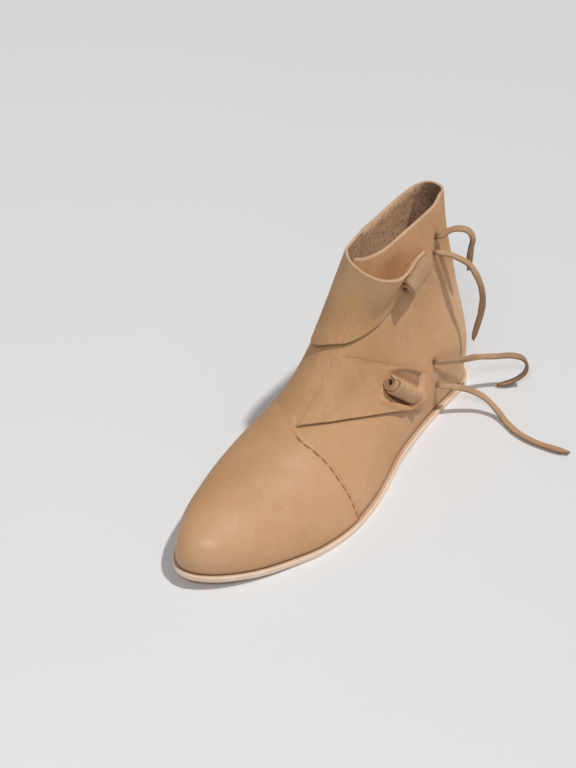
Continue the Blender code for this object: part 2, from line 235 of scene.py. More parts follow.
COLLAR_FRONT = front_station(COLLAR_FRONT_HEIGHT)
FRONT_STATIONS = COLLAR_FRONT + (FEATHER_END - COLLAR_FRONT) * np.cos(np.linspace(0, math.pi / 2, SAMPLES))
FRONT_LINE = np.stack([FRONT_STATIONS, ridge(FRONT_STATIONS)], 1)
BACK_HEIGHTS = np.linspace(FEATHER, COLLAR_HEIGHT, SAMPLES)
BACK_LINE = np.stack([shaft_back(BACK_HEIGHTS), BACK_HEIGHTS], 1)


def upper_side_view(turn, up):
    """(side, station, height) on the upper."""
    turn, up = np.broadcast_arrays(np.asarray(turn, float), np.asarray(up, float))
    along = (1 - np.cos(math.pi * turn)) / 2
    lines = (between(up, arc_fractions(line), line) for line in (FRONT_LINE, BACK_LINE))
    front, back = (np.moveaxis(line, -1, 0) for line in lines)
    station, straight = back + (front - back) * along
    height = straight + (lift(station) - lift(front[0]) * along) * (1 - up) ** 2
    return np.where(turn % 2 <= 1, 1, -1), station, height


def upper_point(turn, up):
    side, station, height = upper_side_view(turn, up)
    middle, half = upper_half(side, station, height)
    return place(station, middle + side * half, height)


def upper_normal(turn, up):
    along = upper_point(turn + NORMAL_STEP, up) - upper_point(turn - NORMAL_STEP, up)
    above, below = np.minimum(up + NORMAL_STEP, 1), np.maximum(up - NORMAL_STEP, 0)
    return unit(np.cross(upper_point(turn, above) - upper_point(turn, below), along))


def off_upper(turn, up, out):
    """Points a distance out from the upper's outside."""
    return shifted(upper_point(turn, up), upper_normal(turn, up), out)


# Materials: colours, and how far the toe's leather is polished between two places along Y, in metres
# Dark colours that the mesh's dark channel mixes in: painted shade on the grain and the suede; painted shade
# and the leather's own darker parts on cut leather
GRAIN_PAINTED_SHADE, SUEDE_PAINTED_SHADE, FIBRE_STAIN_AND_SHADE = (0.1, 0.045, 0.018), (0.03, 0.017, 0.011), (0.1, 0.05, 0.03)
POLISH_FROM, POLISH_TO, POLISH = -0.129, -0.112, 0.42
WRINKLE_LINES = (900, 120, 1)


class Finish:
    """A material in the making: most calls add a node and return what it puts out."""

    def __init__(self, name):
        self.material = bpy.data.materials.new(name)
        self.material.use_nodes = True
        self.tree = self.material.node_tree
        self.position = self.add("TexCoord").outputs["Object"]

    def fill(self, node, inputs):
        """Link the inputs that are sockets, and set the others on the node's own sockets."""
        for key, value in inputs.items():
            if isinstance(value, bpy.types.NodeSocket):
                self.tree.links.new(value, node.inputs[key])
            else:
                node.inputs[key].default_value = value

    def add(self, kind, inputs=()):
        node = self.tree.nodes.new("ShaderNode" + kind)
        self.fill(node, dict(inputs))
        return node

    def mixed(self, factor, low, high):
        low, high = ((*value, 1) if isinstance(value, tuple) else value for value in (low, high))
        mix = self.add("Mix")
        mix.data_type = "RGBA"
        self.fill(mix, {"Factor": factor, 6: low, 7: high})
        return mix.outputs[2]

    def ranged(self, value, low, high, to_low=0, to_high=1):
        spread = self.add("MapRange")
        spread.interpolation_type = "SMOOTHSTEP"
        self.fill(spread, {"Value": value, "From Min": low, "From Max": high,
                           "To Min": to_low, "To Max": to_high})
        return spread.outputs["Result"]

    def noise(self, scale, detail=3, rough=0.55, stretch=None, at=None):
        at = self.position if at is None else at
        if stretch is not None:
            at = self.add("Mapping", {"Vector": at, "Scale": stretch}).outputs["Vector"]
        inputs = {"Vector": at, "Scale": scale, "Detail": detail, "Roughness": rough}
        return self.add("TexNoise", inputs).outputs["Fac"]

    def cells(self, scale):
        texture = self.add("TexVoronoi")
        texture.feature = "DISTANCE_TO_EDGE"
        self.fill(texture, {"Vector": self.position, "Scale": scale})
        return texture.outputs["Distance"]

    def bump(self, height, strength, distance, below=None):
        made = self.add("Bump", {"Height": height, "Strength": strength, "Distance": distance})
        if below is not None:
            self.fill(made, {"Normal": below})
        return made.outputs["Normal"]

    def times(self, first, second):
        product = self.add("Math", {0: first, 1: second})
        product.operation = "MULTIPLY"
        return product.outputs[0]

    def shade(self):
        """The mesh's own shade attribute: (dark, wrinkle, pale) between 0 and 1."""
        attribute = self.add("Attribute")
        attribute.attribute_name = "shade"
        parts = self.add("SeparateColor", {"Color": attribute.outputs["Color"]})
        return [parts.outputs[name] for name in ("Red", "Green", "Blue")]

    def made(self, inputs):
        """The finished material, with these inputs to its shader."""
        self.fill(self.tree.nodes["Principled BSDF"], inputs)
        return self.material


def leather_material(name, ochre, rosy, pale, dark, roughness):
    """Smooth grain: cloudy colour, fine pores, and fine wrinkles where the mesh asks for them; the mesh's
    dark channel adds painted shade, its pale channel paler cut edges and painted light.
    """
    leather = Finish(name)
    mixed, ranged, noise, bump = leather.mixed, leather.ranged, leather.noise, leather.bump
    darkness, wrinkle, paleness = leather.shade()
    colour = mixed(ranged(noise(22, 4), 0.36, 0.64), ochre, rosy)
    colour = mixed(ranged(noise(70, 5, 0.6), 0.42, 0.72, 0, 0.3), colour, pale)
    colour = mixed(ranged(noise(420, 3, 0.65), 0.52, 0.78, 0, 0.26), colour, dark)
    pores = leather.cells(1150)
    colour = mixed(ranged(pores, 0, 0.1, 0.1, 0), colour, dark)
    grain = leather.add("UVMap")
    grain.uv_map = "grain"
    lines = noise(1, 3, 0.6, WRINKLE_LINES, grain.outputs["UV"])
    strength = leather.times(ranged(lines, 0.44, 0.7), wrinkle)
    # The wrinkle lines are darkened in colour too: painted shade in their creases
    colour = mixed(leather.times(strength, 0.42), colour, dark)
    # Pale: the leather's paler cut edges and rims, and painted light; dark: mostly painted shade
    colour = mixed(paleness, colour, pale)
    colour = mixed(darkness, colour, GRAIN_PAINTED_SHADE)
    gloss = ranged(noise(160), 0.3, 0.7, roughness - 0.06, roughness + 0.07)
    along = leather.add("SeparateXYZ", {"Vector": leather.position}).outputs["Y"]
    polish = ranged(along, POLISH_FROM, POLISH_TO, POLISH, 1)
    skin = bump(noise(800, 4, 0.6), 0.16, 0.0004, bump(pores, 0.1, 0.00025))
    slack = bump(noise(95), 0.1, 0.0022, skin)
    return leather.made({
        "Base Color": colour, "Roughness": leather.times(gloss, polish), "Specular IOR Level": 0.4,
        "Normal": bump(strength, 0.35, 0.0005, slack)})


def suede_material(name, base, light, speck):
    """The flesh side: grey-brown nap with dark specks."""
    suede = Finish(name)
    mixed, ranged, noise = suede.mixed, suede.ranged, suede.noise
    colour = mixed(ranged(noise(60, 4), 0.35, 0.68), base, light)
    fleck = noise(520, 4, 0.7)
    colour = mixed(ranged(fleck, 0.48, 0.64, 0, 0.72), colour, speck)
    fibre = noise(2100, 3, 0.7)
    colour = mixed(ranged(fibre, 0.55, 0.75, 0, 0.45), colour, light)
    # Painted shade inside the boot and on the flaps' undersides, where the mesh asks for it
    colour = mixed(suede.shade()[0], colour, SUEDE_PAINTED_SHADE)
    nap = suede.bump(fibre, 0.5, 0.0005)
    return suede.made({
        "Base Color": colour, "Roughness": 0.95, "Specular IOR Level": 0.15, "Sheen Weight": 0.12,
        "Sheen Roughness": 0.6, "Normal": suede.bump(fleck, 0.45, 0.0009, nap)})


def fibre_material(name, base, light, dark, roughness, stretch):
    """Cut leather: pale fibres that run one way, darkened where the mesh asks for it: painted shade, and the
    leather's own darker parts.
    """
    cut = Finish(name)
    mixed, ranged, noise = cut.mixed, cut.ranged, cut.noise
    colour = mixed(ranged(noise(45, 4), 0.35, 0.66), base, light)
    fibre = noise(1, 4, 0.65, stretch)
    colour = mixed(ranged(fibre, 0.5, 0.76, 0, 0.42), colour, dark)
    speck = noise(900, 2, 0.6)
    colour = mixed(ranged(speck, 0.6, 0.74, 0, 0.3), colour, dark)
    # Painted shade, and the leather's own darker parts, where the mesh asks for them
    colour = mixed(cut.shade()[0], colour, FIBRE_STAIN_AND_SHADE)
    rough = cut.bump(speck, 0.2, 0.0003)
    return cut.made({
        "Base Color": colour, "Roughness": roughness, "Specular IOR Level": 0.3,
        "Normal": cut.bump(fibre, 0.35, 0.0004, rough)})


def iron_material(name, bare, rusty):
    iron = Finish(name)
    rust = iron.ranged(iron.noise(700, 4, 0.7), 0.4, 0.68)
    return iron.made({
        "Base Color": iron.mixed(rust, bare, rusty), "Metallic": 0.7,
        "Roughness": iron.ranged(rust, 0, 1, 0.38, 0.78), "Normal": iron.bump(rust, 0.4, 0.0002)})


def thread_material(name, dark, light):
    thread = Finish(name)
    twist = thread.noise(1500, 3, 0.6)
    return thread.made({
        "Base Color": thread.mixed(thread.ranged(twist, 0.35, 0.7), dark, light), "Roughness": 0.7,
        "Normal": thread.bump(twist, 0.4, 0.0002)})


def floor_material(name, low, high):
    paper = Finish(name)
    return paper.made({
        "Base Color": paper.mixed(paper.noise(3), low, high), "Roughness": 0.9, "Specular IOR Level": 0.1})


GRAIN = leather_material("upper_leather", (0.585, 0.33, 0.15), (0.625, 0.35, 0.19), (0.69, 0.44, 0.25),
                         (0.36, 0.18, 0.075), 0.58)
SUEDE = suede_material("upper_suede", (0.86, 0.55, 0.33), (0.95, 0.68, 0.45), (0.19, 0.1, 0.053))
CUT_EDGE, THONG, ROLL, DARK_ROLL, SOLE_FACE, SOLE_EDGE = (fibre_material(*row) for row in (
    # name, base, light and dark colour, roughness, how much the fibres are drawn out
    ("cut_edge", (0.55, 0.345, 0.21), (0.63, 0.43, 0.28), (0.38, 0.22, 0.125), 0.75, (500, 500, 1500)),
    ("thong_leather", (0.45, 0.272, 0.152), (0.52, 0.335, 0.2), (0.23, 0.128, 0.07), 0.72, (600, 600, 600)),
    ("roll_leather", (0.58, 0.34, 0.185), (0.65, 0.41, 0.245), (0.34, 0.185, 0.1), 0.62, (700, 700, 500)),
    # a darker copy of the roll leather, for the ankle toggle
    ("dark_roll_leather", (0.43, 0.265, 0.15), (0.5, 0.32, 0.19), (0.27, 0.15, 0.08), 0.7, (700, 700, 500)),
    ("sole_leather", (0.63, 0.405, 0.255), (0.7, 0.475, 0.325), (0.47, 0.28, 0.165), 0.55, (320, 120, 320)),
    ("sole_edge", (0.92, 0.68, 0.51), (0.95, 0.77, 0.62), (0.68, 0.46, 0.3), 0.7, (160, 160, 1900)),
))
IRON = iron_material("nail_iron", (0.055, 0.035, 0.026), (0.2, 0.105, 0.06))
THREAD = thread_material("seam_thread", (0.26, 0.125, 0.05), (0.4, 0.215, 0.095))

# Meshes: millimetres of leather in one turn and in one up, for the grain's own coordinates
GRAIN_ROUND, GRAIN_UP = 300.0, 230.0


def grid_faces(rows, columns, rows_closed=False, columns_closed=False):
    i, j = np.meshgrid(np.arange(rows if rows_closed else rows - 1),
                       np.arange(columns if columns_closed else columns - 1), indexing="ij")
    down, right = (i + 1) % rows, (j + 1) % columns
    return np.stack([i * columns + j, i * columns + right, down * columns + right, down * columns + j],
                    -1).reshape(-1, 4)


def stack_faces(rings, count):
    """Faces of a stack of rings: its walls, then the quads that close its first and its last ring."""
    k = np.arange(count // 2 - 1)
    lid = np.stack([k, k + 1, count - 2 - k, count - 1 - k], -1)
    walls = grid_faces(rings, count, columns_closed=True)
    return np.concatenate([walls, lid[:, ::-1], (rings - 1) * count + lid])


def slab_faces(rows, columns):
    """(faces, finish of each) of a sheet whose two sides are grids, one after the other."""
    count = rows * columns
    grid = grid_faces(rows, columns)
    index = np.arange(count).reshape(rows, columns)
    loop = np.concatenate([index[0, :-1], index[:-1, -1], index[-1, :0:-1], index[:0:-1, 0]])
    after = np.roll(loop, -1)
    edge = np.stack([loop, after, after + count, loop + count], 1)
    which = np.repeat([0, 2, 1], [len(grid), len(grid), len(edge)])
    return np.concatenate([grid + count, grid[:, ::-1], edge]), which


def shading(dark, wrinkle=0, pale=0):
    """The three channels of the shade attribute as one array."""
    return np.stack(np.broadcast_arrays(dark, wrinkle, pale), -1)


def grain_uv(turn, up):
    return np.stack([turn * GRAIN_ROUND, up * GRAIN_UP], -1) * MM


def add_object(name, data):
    made = bpy.data.objects.new(name, data)
    bpy.context.scene.collection.objects.link(made)
    return made


def add_piece(name, points, faces, finishes, which=0, uv=None, shade=(0, 0, 0), nodes=()):
    """A closed mesh that rides on the boot; which says each face's finish, and nodes what it replaces."""
    points = np.asarray(points, float).reshape(-1, 3)
    a, b, c, d = (points[faces[:, k]] for k in range(4))
    volume = np.einsum("ij,ij->i", a, np.cross(b, c) + np.cross(c, d)).sum()
    if volume < 0:
        faces = faces[:, ::-1]
    mesh = bpy.data.meshes.new(name)
    mesh.from_pydata(points.tolist(), [], faces.tolist())
    for finish in finishes:
        mesh.materials.append(finish)
    mesh.polygons.foreach_set("material_index", np.broadcast_to(which, len(faces)).astype(np.int32))
    corners = np.empty(len(mesh.loops), np.int32)
    mesh.loops.foreach_get("vertex_index", corners)
    flat = points[:, :2] if uv is None else uv.reshape(-1, 2)
    mesh.uv_layers.new(name="grain").data.foreach_set("uv", flat[corners].astype(np.float32).ravel())
    colour = np.ones((len(points), 4), np.float32)
    colour[:, :3] = np.clip(np.reshape(shade, (-1, 3)), 0, 1)
    mesh.attributes.new("shade", "FLOAT_COLOR", "POINT").data.foreach_set("color", colour.ravel())
    mesh.shade_smooth()
    piece = add_object(name, mesh)
    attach(piece, "root")
    if nodes:
        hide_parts(*nodes)
    return piece


def nearest(points, line):
    """Each point's distance in millimetres from a line of points, and how far along it that is, 0 to 1."""
    flat = points.reshape(-1, 3)
    best, along = np.full(len(flat), np.inf), np.zeros(len(flat))
    marks = arc_fractions(line)
    for k in range(len(line) - 1):
        start, step = line[k], line[k + 1] - line[k]
        t = np.clip((flat - start) @ step / (step @ step), 0, 1)
        gap = size(flat - start - t[:, None] * step)
        closer = gap < best
        best[closer] = gap[closer]
        along[closer] = (marks[k] + t * (marks[k + 1] - marks[k]))[closer]
    return best.reshape(points.shape[:-1]) / MM, along.reshape(points.shape[:-1])


# The upper: the lateral quarter lies a layer lower than the vamp that is sewn over it
RECESS = 1.2
VAMP_EDGE = np.array([
    # up, turn of the vamp's cut edge over the lateral quarter
    (0, 0.5755), (0.04, 0.5825), (0.1, 0.5985), (0.17, 0.627), (0.265, 0.672), (0.355, 0.732),
    (0.435, 0.813), (0.49, 0.905), (0.515, 0.957), (0.55, 0.995), (0.58, 1), (1, 1),
])
vamp_edge = table_curve(VAMP_EDGE)
CORNER_UP, CORNER_FADE = 0.515, 0.03
EDGE_STEPS = np.array([0, 0.35, 0.8, 1.4, 1.8, 2.2, 2.6, 3.1, 4.2, 5.8, 8])
FAR_BEHIND = 20.0
LEAST_SLANT = 0.4
STITCH_INSET_LOW, STITCH_INSET_HIGH = 1.7, 3.0
QUARTER_COLUMNS, VAMP_COLUMNS = 190, 290
OUTER_ROWS, INNER_ROWS = 160, 26
EDGE_ROUND = 0.45
GROOVE, GROOVE_WIDTH = 0.35, 0.5
QUARTER_FADE_FROM, QUARTER_FADE = 0.78, 0.25
DIP = 0.075
# Inset and drop of the rings turned under at the feather line, inset and rise of the collar's cut edge
CURL = ((2.1, 0.78), (0.9, 0.72), (0.25, 0.45))
RIM = ((0.35, 0.22), (WALL / 2, 0.3), (WALL - 0.35, 0.22))
CREASE_STEPS = 24
CREASES = (
    # half-width, depth, then (turn, up) points
    (2.6, 0.5, ((1.3, 0.44), (1.22, 0.49), (1.14, 0.52), (1.06, 0.538))),
    (7, 0.18, ((0.5, 0.62), (0.4, 0.52), (0.33, 0.4))),
    (6, 0.15, ((0.42, 0.72), (0.33, 0.6), (0.26, 0.42))),
    (6, 0.3, ((0.05, 0.4), (0.1, 0.28), (0.18, 0.18))),
    (7, 0.5, ((1.6, 0.55), (1.52, 0.42), (1.45, 0.25))),
    (6, 0.45, ((1.72, 0.7), (1.66, 0.52), (1.62, 0.35))),
    (5, 0.35, ((1.4, 0.62), (1.34, 0.52), (1.24, 0.42))),
    (4.5, 0.22, ((0.94, 0.44), (1.02, 0.42), (1.14, 0.37), (1.24, 0.3))),
    (4, 0.18, ((0.9, 0.38), (1.02, 0.36), (1.16, 0.31))),
)
# The toe's polished spot, in metres, at which the front light is aimed, and the width of the painted
# highlight round it
TOE_SHINE, TOE_PAINTED_HIGHLIGHT_WIDTH = np.array([0.002, -0.128, 0.029]), 19.0


def quarter_share(turn, up):
    """1 where the surface is the lateral quarter's; it fades at the heel's back and high up at the front."""
    front = 1 - ramp(turn, QUARTER_FADE_FROM, QUARTER_FADE) * ramp(up, 0.5, 0.05)
    return np.where(turn <= 1, front, ramp(turn, 1.8, 0.2))


def collar_top(turn):
    """The upper's highest up at a turn: it dips at the front, where only the ankle flap shows."""
    return 1 - DIP * ramp(turn, 0.975, 0.05) * (1 - ramp(turn, 1.2, 0.18))


def collar_shape(turn, up):
    """How far the soft collar's back stands from the part's plain form, as points."""
    high = ramp(up, 0.6, 0.4)
    round_back = (turn + 1) % 2 - 1
    out = bell(round_back - 0.01, 0.08)
    across = 1.8 * out - 3.0 * bell(turn - 0.18, 0.09) - 1.6 * bell(turn - 1.66, 0.17)
    return np.stack([across * high, 1.4 * out * high, 3 * bell(round_back + 0.05, 0.1) * high], -1) * MM


def crease_depth(points):
    depth = np.zeros(points.shape[:-1])
    steps = np.linspace(0, 1, CREASE_STEPS)
    for width, deep, route in CREASES:
        turn, up = between(steps, np.linspace(0, 1, len(route)), route).T
        gap, along = nearest(points, upper_point(turn, up))
        depth += deep * bell(gap, width) * np.sin(math.pi * np.clip(along, 0.02, 0.98)) ** 0.7
    return depth


def stitch_inset(up):
    """How far inside the vamp's cut edge its stitches run."""
    return STITCH_INSET_LOW + (STITCH_INSET_HIGH - STITCH_INSET_LOW) * ramp(up, 0.12, 0.3)


def upper_columns(up):
    """(turns, distances behind the vamp's edge) of a ring's columns; the quarter's are negative."""
    edge = float(vamp_edge(up))
    step = np.array([-NORMAL_STEP, NORMAL_STEP])
    per_turn = np.diff(upper_point(edge + step, up), axis=0)[0] / (2 * NORMAL_STEP) / MM
    ups = np.clip(up + step, 0, 1)
    seam = np.diff(upper_point(vamp_edge(ups), ups), axis=0)[0]
    slant = size(np.cross(unit(per_turn), unit(seam)))
    near = edge + EDGE_STEPS / (size(per_turn) * max(slant, LEAST_SLANT))
    rest = np.linspace(near[-1], 2, VAMP_COLUMNS - len(near) + 2)[1:-1]
    quarter = np.linspace(0, edge, QUARTER_COLUMNS)
    behind = np.concatenate([np.full(len(quarter), -1), EDGE_STEPS, np.full(len(rest), FAR_BEHIND)])
    return np.concatenate([quarter, near, rest]), behind


def make_upper():
    ups = np.linspace(0, 1, OUTER_ROWS)
    turns, behind = (np.array(part) for part in zip(*(upper_columns(up) for up in ups)))
    on_quarter = behind < 0
    up = ups[:, None] * collar_top(turns)
    seam = 1 - ramp(ups[:, None], CORNER_UP - CORNER_FADE, CORNER_FADE)
    on_vamp = np.where(on_quarter | (behind == FAR_BEHIND), 0, seam)
    groove = on_vamp * bell(behind - stitch_inset(up), GROOVE_WIDTH)
    points = upper_point(turns, up) + collar_shape(turns, up)
    out = -RECESS * np.where(on_quarter | (turns > 1.5), quarter_share(turns, up), 0)
    out -= on_vamp * EDGE_ROUND * bell(behind, 0.3)
    out -= GROOVE * groove + crease_depth(points)
    normals = upper_normal(turns, up)
    outer = shifted(points, normals, out)

    # Dark: painted shade in the gap above the sole, the stitches' groove, under the vamp's edge and the
    # flaps' low edges, and in the slits
    _, stations, heights = upper_side_view(turns, up)
    over_feather = heights - FEATHER - lift(stations)
    dark = 0.25 * ramp(over_feather, 3.5, -3.5) ** 2 + 0.6 * ramp(over_feather, 1.4, -1.4)
    dark += 0.22 * groove
    dark += np.where(on_quarter, seam * 0.3 * ramp(turns, vamp_edge(ups)[:, None] - 0.005, 0.005), 0)
    for table, start, end in ((INSTEP_LOW, 0.4, 0.95), (ANKLE_EDGES, 0.56, 1.13)):
        edge = np.linspace(start, end, 60)
        gap, _ = nearest(points, upper_point(edge, table_curve(table)(edge)))
        dark += 0.65 * bell(gap, 1.1)
    for exit_at, _, _ in THONGS.values():
        dark += 0.8 * bell(size(points - upper_point(*exit_at)) / MM, 2.2)
    # The vamp's middle a little darker, and painted shade in the pocket under the ankle flap
    dark += 0.085 * bell(turns - 1.05, 0.28) * bell(up - 0.32, 0.2)
    dark += 0.22 * bell(turns - 0.64, 0.09) * ramp(up, 0.8, 0.06) * (1 - ramp(up, 0.93, 0.05))
    wrinkle = 0.25 + 0.55 * ramp(up, 0.45, 0.15) * np.where(turns < 1.3, 1, 0.4)

    # Pale: the vamp's cut edge and the collar's rim, painted light on the heel's lateral side and a painted
    # highlight round the toe's shine
    pale = on_vamp * 0.9 * bell(behind, 0.5)
    pale += 0.25 * ramp(up, collar_top(turns) - 0.008, 0.008)
    pale += 0.95 * (1 - ramp(turns, 0.14, 0.22)) * (1 - ramp(up, 0.5, 0.25))
    pale += 0.6 * bell(size(points - TOE_SHINE) / MM, TOE_PAINTED_HIGHLIGHT_WIDTH)
    shade = shading(dark, wrinkle, pale)

    # Rings as (row, points, finish, shade): turned under, outside, cut edge and inside
    clear = np.zeros(turns.shape[1])
    rings = []
    # The rings turned under at the feather line are dark with painted shade
    for inset, drop in CURL:
        under = outer[0] - (normals[0] * inset + np.array([0, 0, drop])) * MM
        rings.append((0, under, 0, shading(clear + 0.9)))
    for k in range(OUTER_ROWS):
        rings.append((k, outer[k], 0, shade[k]))
    sideways = unit(normals[-1] * np.array([1, 1, 0]))
    for inset, rise in RIM:
        rim = outer[-1] + (np.array([0, 0, rise]) - sideways * inset) * MM
        rings.append((OUTER_ROWS - 1, rim, 1, shading(clear)))
    for k in np.linspace(OUTER_ROWS - 1, 0, INNER_ROWS).round().astype(int):
        # Painted shade inside the upper, deeper down and at the heel's back
        deep = 0.5 * ramp(ups[k], 0.62, -0.5) + 0.75 * bell(np.minimum(turns[k], 2 - turns[k]), 0.16)
        rings.append((k, shifted(outer[k], normals[k], -WALL), 2, shading(deep)))
    row_of, shape, kinds, shades = (np.array(part) for part in zip(*rings))
    row_kind = np.where((kinds == 1) | (np.roll(kinds, -1) == 1), 1, kinds)
    row_kind[-1] = 2
    faces = grid_faces(len(rings), turns.shape[1], True, True)
    add_piece("boot_upper", shape, faces, (GRAIN, CUT_EDGE, SUEDE),
              np.repeat(row_kind, turns.shape[1]), grain_uv(turns, up)[row_of], shades, nodes=("upper",))


# Flaps: each runs from its end on the lateral side round the front, where it sinks into the upper
FLAP_THICK = 1.9
EDGE_BEVEL = 0.6
INSTEP_LOW = np.array([
    # turn, up of the low edge
    (0.34, 0.15), (0.346, 0.118), (0.356, 0.1), (0.372, 0.112), (0.403, 0.152), (0.439, 0.192),
    (0.507, 0.272), (0.579, 0.351), (0.619, 0.389), (0.668, 0.433), (0.723, 0.472), (0.776, 0.498),
    (0.825, 0.514), (0.872, 0.521), (0.917, 0.521), (0.961, 0.515), (1.12, 0.505),
])
INSTEP_HIGH = np.array([
    # turn, up of the high edge
    (0.34, 0.19), (0.346, 0.226), (0.356, 0.252), (0.372, 0.284), (0.401, 0.335), (0.449, 0.413),
    (0.5, 0.474), (0.582, 0.564), (0.68, 0.643), (0.75, 0.687), (0.824, 0.713), (0.9, 0.731),
    (0.96, 0.743), (1.12, 0.745),
])
ANKLE_EDGES = np.array([
    # turn, low edge, high edge on the upper under it
    (0.4, 0.852, 0.885), (0.44, 0.832, 0.908), (0.48, 0.816, 0.925), (0.53, 0.796, 0.945),
    (0.575, 0.782, 0.957), (0.6, 0.778, 0.963), (0.639, 0.776, 0.97), (0.698, 0.77, 0.977),
    (0.759, 0.766, 0.982), (0.836, 0.764, 0.986), (0.958, 0.76, 0.99), (1.118, 0.725, 0.996),
    (1.22, 0.712, 1), (1.34, 0.705, 1), (1.5, 0.705, 1),
])
ANKLE_RIM = np.array([
    # turn, station, across, height of the flap's top edge, which stands off the quarter
    (0.4, 56, 12, 127.5), (0.47, 64.5, 13.9, 130), (0.54, 75.5, 17.4, 132),
    (0.62, 88.5, 21.4, 134), (0.71, 100.5, 22.6, 136), (0.79, 108.3, 17.6, 137.7),
    (0.88, 111.6, 8.9, 139.2), (0.99, 110.2, -2.4, 140.5), (1.1, 106.8, -10, 141.5),
    (1.18, 102.8, -14.2, 142.2),
])
RIM_FADE_FROM, RIM_FADE_TO = 1.13, 1.24
# Turns of a flap's end, of where its rows become wider and of its start, then rows to there, rows and columns
INSTEP_GRID = (0.34, 0.42, 1.12, 90, 230, 96)
ANKLE_GRID = (0.4, 0.44, 1.5, 24, 240, 96)
# Share of a flap's height in the narrow columns along its cut edges
INSTEP_MARGIN, ANKLE_MARGIN = 0.014, 0.01
# How far the flaps' faces lie from the upper, and how deep they sink at the front
INSTEP_REST, INSTEP_SINK = 0.95, 0.45
ANKLE_REST, ANKLE_SINK = 0.3, 0.08


def flap_grid(grid, margin, low, high):
    """(turn, up, share of the flap's height, that height in millimetres) over a flap's grid."""
    end, middle, start, dense, rows, columns = grid
    wider = np.linspace(middle, start, rows - dense + 1)[1:]
    turns = np.concatenate([np.linspace(end, middle, dense), wider])
    low, high = low(turns)[:, None], high(turns)[:, None]
    steps = np.linspace(margin, 1 - margin, columns - 4)
    a = np.concatenate([[0, margin / 2], steps, [1 - margin / 2, 1]])[None, :]
    up = low + (high - low) * a
    return np.broadcast_to(turns[:, None], up.shape), up, a, (high - low) * GRAIN_UP


def edge_bevel(rows, columns):
    """Thickness of a sheet at its grid points: full inside and less on the outermost lines."""
    thick = np.full((rows, columns), FLAP_THICK)
    thick[:, [0, -1]] -= EDGE_BEVEL
    thick[[0, -1], :] = np.minimum(thick[[0, -1], :], FLAP_THICK - EDGE_BEVEL)
    thick[:, [1, -2]] -= EDGE_BEVEL * 0.25
    return thick


def sheet_normal(grid):
    return unit(np.cross(np.gradient(grid, axis=1), np.gradient(grid, axis=0)))


def add_sheet(node, inner, outer, uv, shade):
    """A leather sheet between two grids; its low edge is darkest underneath, with painted shade."""
    faces, which = slab_faces(*inner.shape[:2])
    inside = shade * np.array([1, 0, 0])
    inside[:, 0, 0] = 0.85
    add_piece("boot_" + node, np.array([inner, outer]), faces, (GRAIN, CUT_EDGE, SUEDE),
              which, np.array([uv, uv]), np.array([inside, shade]), nodes=(node,))


# Toggles: rolled strips that lie over the upper
TOGGLES = {
    # (turn, up) under its front and rear ends, how far its middle line stands out there, length, radius,
    # angle of the strip's free edge, how far its last turn stops short of the front end, finish
    "instep_toggle": ((0.55, 0.472), (0.366, 0.153), (3.5, -1), 40.2, 7, 0.74, 4, ROLL),
    "ankle_toggle": ((0.56, 0.843), (0.488, 0.854), (8, 8), 27.1, 6.8, 1.9, 1.5, DARK_ROLL),
}
ROLL_TURNS, ROLL_STRIP = 2.7, 1.9
ROLL_SLICES, ROLL_SAMPLES = 46, 190
# The instep flap's eye round its roll: how far it reaches below and above, its middle and its half length
EYE_LOW, EYE_HIGH, EYE_MIDDLE, EYE_HALF = 9.4, 5.4, 21.0, 19.0
# The strap over the roll's rear end: where it starts and ends, and its arch
STRAP_COVER, STRAP_PAST = 7.4, 5.6
STRAP_HEIGHT, STRAP_WIDTH, STRAP_POWER = 6.0, 7.6, 2.4


def toggle_ends(name, outs):
    """The front and rear ends of a roll's middle line, so far out from the upper there."""
    front, rear, _, length = TOGGLES[name][:4]
    middle = np.mean([front, rear], axis=0)
    half = unit(upper_point(*front) - upper_point(*rear)) * length / 2 * MM
    ends = upper_point(*middle) + np.array([half, -half])
    return shifted(ends, upper_normal(*middle), np.array(outs))


